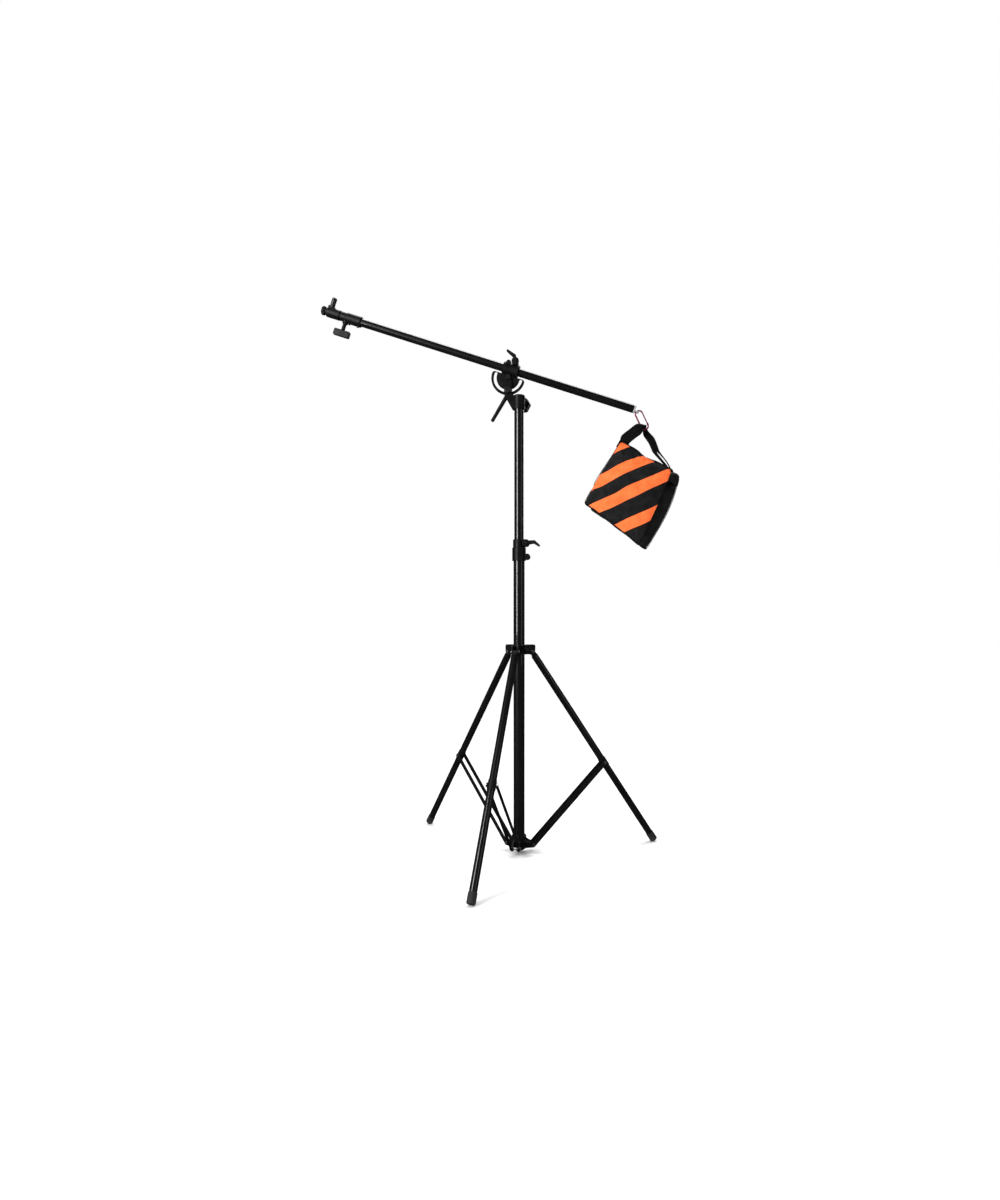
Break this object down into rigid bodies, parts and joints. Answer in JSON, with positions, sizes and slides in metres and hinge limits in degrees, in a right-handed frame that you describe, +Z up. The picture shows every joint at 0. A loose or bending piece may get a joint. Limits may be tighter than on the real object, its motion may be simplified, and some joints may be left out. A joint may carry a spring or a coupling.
{
  "type": "boom light stand",
  "caption": "Folding tripod stand with a telescopic column, a tilting extendable boom with a light stud, and a sand bag counterweight on a carabiner.",
  "frame": {"origin": "the point on the floor under the column's axis, midway between the feet's circle", "axes": "+Z up along the column; the boom lies in the XZ plane with its tail and the bag towards +X and its stud towards -X"},
  "size_m": [1.1286, 0.7742, 1.7586],
  "materials": {
    "black_tube": "gloss",
    "black_casting": "satin",
    "black_plastic": "satin",
    "black_strap": "satin",
    "black_steel": "gloss",
    "rubber": "matte",
    "steel": "satin",
    "carabiner": "gloss",
    "striped_fabric": "matte",
    "black_fabric": "matte",
    "webbing": "matte"
  },
  "bodies": {
    "column": {"lower_column": "black_tube", "column_end_plug": "black_plastic", "base_collar": "black_casting", "brace_pins": "steel", "mid_clamp": "black_casting", "mid_clamp_liner": "black_plastic", "mid_clamp_bolts": "black_steel"},
    "base_knob": {"base_collar_knob": "black_plastic"},
    "mid_lever": {"mid_clamp_lever": "black_plastic"},
    "leg_collar": {"leg_collar": "black_casting", "leg_collar_bush": "black_plastic", "leg_hinge_pins": "steel"},
    "collar_knob": {"leg_collar_knob": "black_plastic"},
    "mast": {"upper_column": "black_tube", "upper_column_bush": "black_plastic"},
    "head": {"head_socket": "black_casting", "head_bracket": "black_casting", "tilt_bolts": "black_steel"},
    "head_knob": {"head_lock_knob": "black_plastic"},
    "tilt_lever": {"tilt_lever": "black_plastic"},
    "cradle": {"arc_plate": "black_casting", "boom_clamp": "black_casting", "boom_clamp_liner": "black_plastic", "boom_clamp_bolts": "black_steel"},
    "clamp_lever": {"boom_clamp_lever": "black_plastic"},
    "boom": {"boom_tube": "black_tube", "boom_collar": "black_casting", "boom_collar_rivets": "black_steel", "tail_plug": "steel", "tail_eye": "steel"},
    "t_knob": {"tip_t_knob": "black_plastic"},
    "inner_boom": {"inner_tube": "black_tube", "inner_tube_bush": "black_plastic", "tip_block": "black_casting", "stud": "black_steel"},
    "end_knob": {"tip_end_knob": "black_plastic"},
    "carabiner": {"carabiner_frame": "carabiner"},
    "gate": {"carabiner_gate": "carabiner"},
    "sand_bag": {"sand_pouch_front": "striped_fabric", "sand_pouch_back": "striped_fabric", "bag_bridge": "black_fabric", "bag_handle": "webbing"},
    "leg_right": {"leg_tube_right": "black_tube", "leg_fitting_right": "black_plastic", "brace_clip_right": "black_plastic", "foot_cap_right": "rubber"},
    "brace_right": {"brace_straps_right": "black_strap", "brace_rivets_right": "steel"},
    "leg_left": {"leg_tube_left": "black_tube", "leg_fitting_left": "black_plastic", "brace_clip_left": "black_plastic", "foot_cap_left": "rubber"},
    "brace_left": {"brace_straps_left": "black_strap", "brace_rivets_left": "steel"},
    "leg_front": {"leg_tube_front": "black_tube", "leg_fitting_front": "black_plastic", "brace_clip_front": "black_plastic", "foot_cap_front": "rubber"},
    "brace_front": {"brace_straps_front": "black_strap", "brace_rivets_front": "steel"}
  },
  "joints": [
    {"name": "leg_collar_slide", "type": "slide", "parent": "column", "child": "leg_collar", "axis": [0, 0, 1], "range_m": [0, 0.17]},
    {"name": "leg_hinge_right", "type": "hinge", "parent": "leg_collar", "child": "leg_right", "pos_m": [0.04018, 0.01352, 0.6283], "axis": [-0.319, 0.9478, 0], "range_deg": [0, 33.59]},
    {"name": "brace_hinge_right", "type": "hinge", "parent": "column", "child": "brace_right", "pos_m": [0.04104, 0.01381, 0.022], "axis": [-0.319, 0.9478, 0], "range_deg": [-43.94, 0]},
    {"name": "leg_hinge_left", "type": "hinge", "parent": "leg_collar", "child": "leg_left", "pos_m": [-0.0318, 0.02804, 0.6283], "axis": [-0.6613, -0.7501, 0], "range_deg": [0, 33.59]},
    {"name": "brace_hinge_left", "type": "hinge", "parent": "column", "child": "brace_left", "pos_m": [-0.03248, 0.02864, 0.022], "axis": [-0.6613, -0.7501, 0], "range_deg": [-43.94, 0]},
    {"name": "leg_hinge_front", "type": "hinge", "parent": "leg_collar", "child": "leg_front", "pos_m": [-0.00838, -0.04156, 0.6283], "axis": [0.9803, -0.1977, 0], "range_deg": [0, 33.59]},
    {"name": "brace_hinge_front", "type": "hinge", "parent": "column", "child": "brace_front", "pos_m": [-0.00856, -0.04245, 0.022], "axis": [0.9803, -0.1977, 0], "range_deg": [-43.94, 0]},
    {"name": "mast_slide", "type": "slide", "parent": "column", "child": "mast", "axis": [0, 0, 1], "range_m": [-0.39, 0.28]},
    {"name": "head_pan", "type": "hinge", "parent": "mast", "child": "head", "pos_m": [0, 0, 1.411], "axis": [0, 0, 1], "continuous": true},
    {"name": "boom_tilt", "type": "hinge", "parent": "head", "child": "cradle", "pos_m": [-0.0344, 0, 1.4886], "axis": [0, -1, 0], "range_deg": [-22, 98]},
    {"name": "boom_slide", "type": "slide", "parent": "cradle", "child": "boom", "axis": [-0.9464, 0, 0.3231], "range_m": [-0.4, 0.16]},
    {"name": "boom_extension", "type": "slide", "parent": "boom", "child": "inner_boom", "axis": [-0.9464, 0, 0.3231], "range_m": [0, 0.7]},
    {"name": "carabiner_swing", "type": "hinge", "parent": "boom", "child": "carabiner", "pos_m": [0.37064, 0, 1.37198], "axis": [0, 1, 0], "range_deg": [-60, 15]},
    {"name": "sand_bag_swing", "type": "hinge", "parent": "carabiner", "child": "sand_bag", "pos_m": [0.39514, 0, 1.31946], "axis": [0.9063, 0, 0.4226], "range_deg": [-15, 15]},
    {"name": "gate_opening", "type": "hinge", "parent": "carabiner", "child": "gate", "pos_m": [0.39919, 0, 1.3368], "axis": [0, -1, 0], "range_deg": [0, 25], "stiffness_Nm_per_rad": 0.02, "springref_deg": -17.19},
    {"name": "leg_collar_knob_turn", "type": "hinge", "parent": "leg_collar", "child": "collar_knob", "pos_m": [0, 0, 0.636], "axis": [0.7547, -0.6561, 0], "range_deg": [0, 360]},
    {"name": "base_collar_knob_turn", "type": "hinge", "parent": "column", "child": "base_knob", "pos_m": [0, 0, 0.036], "axis": [0.7547, -0.6561, 0], "range_deg": [0, 360]},
    {"name": "mid_lever_turn", "type": "hinge", "parent": "column", "child": "mid_lever", "pos_m": [0.023, 0, 0.967], "axis": [0, -1, 0], "range_deg": [-60, 90]},
    {"name": "head_knob_turn", "type": "hinge", "parent": "head", "child": "head_knob", "pos_m": [0, 0, 1.411], "axis": [0.3256, 0.9455, 0], "range_deg": [0, 360]},
    {"name": "tilt_lever_turn", "type": "hinge", "parent": "head", "child": "tilt_lever", "pos_m": [-0.0344, 0, 1.4476], "axis": [0, -1, 0], "range_deg": [-50, 15]},
    {"name": "clamp_lever_turn", "type": "hinge", "parent": "cradle", "child": "clamp_lever", "pos_m": [-0.01024, 0, 1.53276], "axis": [0, -1, 0], "range_deg": [-90, 45]},
    {"name": "t_knob_turn", "type": "hinge", "parent": "boom", "child": "t_knob", "pos_m": [-0.55963, 0, 1.66792], "axis": [-0.3231, 0, -0.9464], "range_deg": [0, 360]},
    {"name": "end_knob_turn", "type": "hinge", "parent": "inner_boom", "child": "end_knob", "pos_m": [-0.61448, 0, 1.71464], "axis": [-0.9464, 0, 0.3231], "range_deg": [0, 360]}
  ],
  "couplings": [
    {"joint": "leg_hinge_right", "follows": "leg_collar_slide", "rad_per_m": 3.4438},
    {"joint": "brace_hinge_right", "follows": "leg_collar_slide", "rad_per_m": -4.5057},
    {"joint": "leg_hinge_left", "follows": "leg_collar_slide", "rad_per_m": 3.4438},
    {"joint": "brace_hinge_left", "follows": "leg_collar_slide", "rad_per_m": -4.5057},
    {"joint": "leg_hinge_front", "follows": "leg_collar_slide", "rad_per_m": 3.4438},
    {"joint": "brace_hinge_front", "follows": "leg_collar_slide", "rad_per_m": -4.5057}
  ]
}
